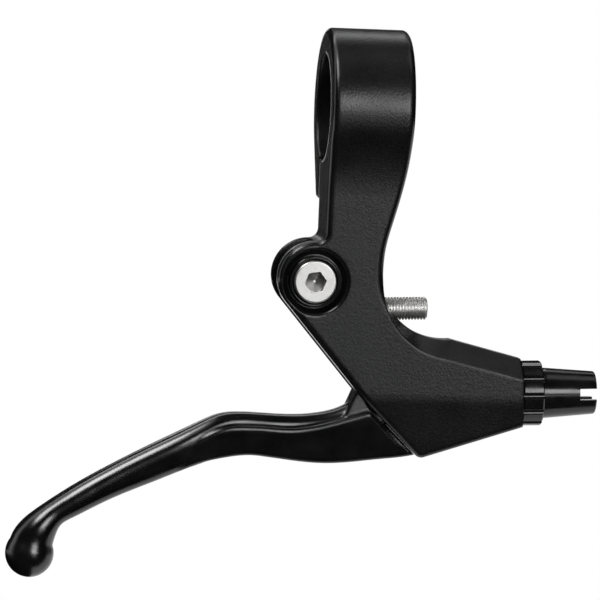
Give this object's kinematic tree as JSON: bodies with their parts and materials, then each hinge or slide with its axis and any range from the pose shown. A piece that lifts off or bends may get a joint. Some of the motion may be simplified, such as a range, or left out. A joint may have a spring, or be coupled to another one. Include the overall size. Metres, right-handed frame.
{
  "type": "bicycle brake lever",
  "caption": "Flat-bar cable brake lever with split handlebar clamp, curved ball-ended finger blade on a pivot bolt, reach screw and slotted barrel adjuster with lock ring.",
  "frame": {"origin": "centre of the handlebar clamp's bore, half-way along its width", "axes": "+X along the handlebar towards the barrel adjuster, +Z from the lever up to the clamp, -Y out of the face that carries the pivot bolt's head"},
  "size_m": [0.1208, 0.0326, 0.1146],
  "materials": {
    "body_black": "satin black coat on a cast surface",
    "blade_black": "glossy black coat",
    "adjuster_black": "gloss black anodised",
    "bolt_steel": "bright zinc-plated steel",
    "steel": "zinc-plated steel",
    "bush_polymer": "black bearing polymer"
  },
  "bodies": {
    "body": {"lever_body": "body_black", "pivot_bolt": "bolt_steel", "pivot_sleeve": "steel", "pivot_nut": "steel", "clamp_bolt": "steel", "clamp_washer": "steel"},
    "blade": {"lever_blade": "blade_black", "front_bush": "bush_polymer", "back_bush": "bush_polymer"},
    "reach": {"reach_screw": "bolt_steel"},
    "barrel": {"barrel_adjuster": "adjuster_black"},
    "ring": {"lock_ring": "adjuster_black"}
  },
  "joints": [
    {"name": "blade_pivot", "type": "hinge", "parent": "body", "child": "blade", "pos_m": [-0.0103, -0.0046, -0.0352], "axis": [0, 1, 0], "range_deg": [0, 35]},
    {"name": "reach_adjust", "type": "slide", "parent": "body", "child": "reach", "axis": [0.9993, 0, 0.0384], "range_m": [0, 0.004]},
    {"name": "cable_adjust", "type": "slide", "parent": "body", "child": "barrel", "axis": [0.9993, 0, 0.0384], "range_m": [0, 0.007]},
    {"name": "ring_turn", "type": "hinge", "parent": "body", "child": "ring", "pos_m": [0.03613, -0.0046, -0.05733], "axis": [0.9993, 0, 0.0384], "continuous": true}
  ]
}
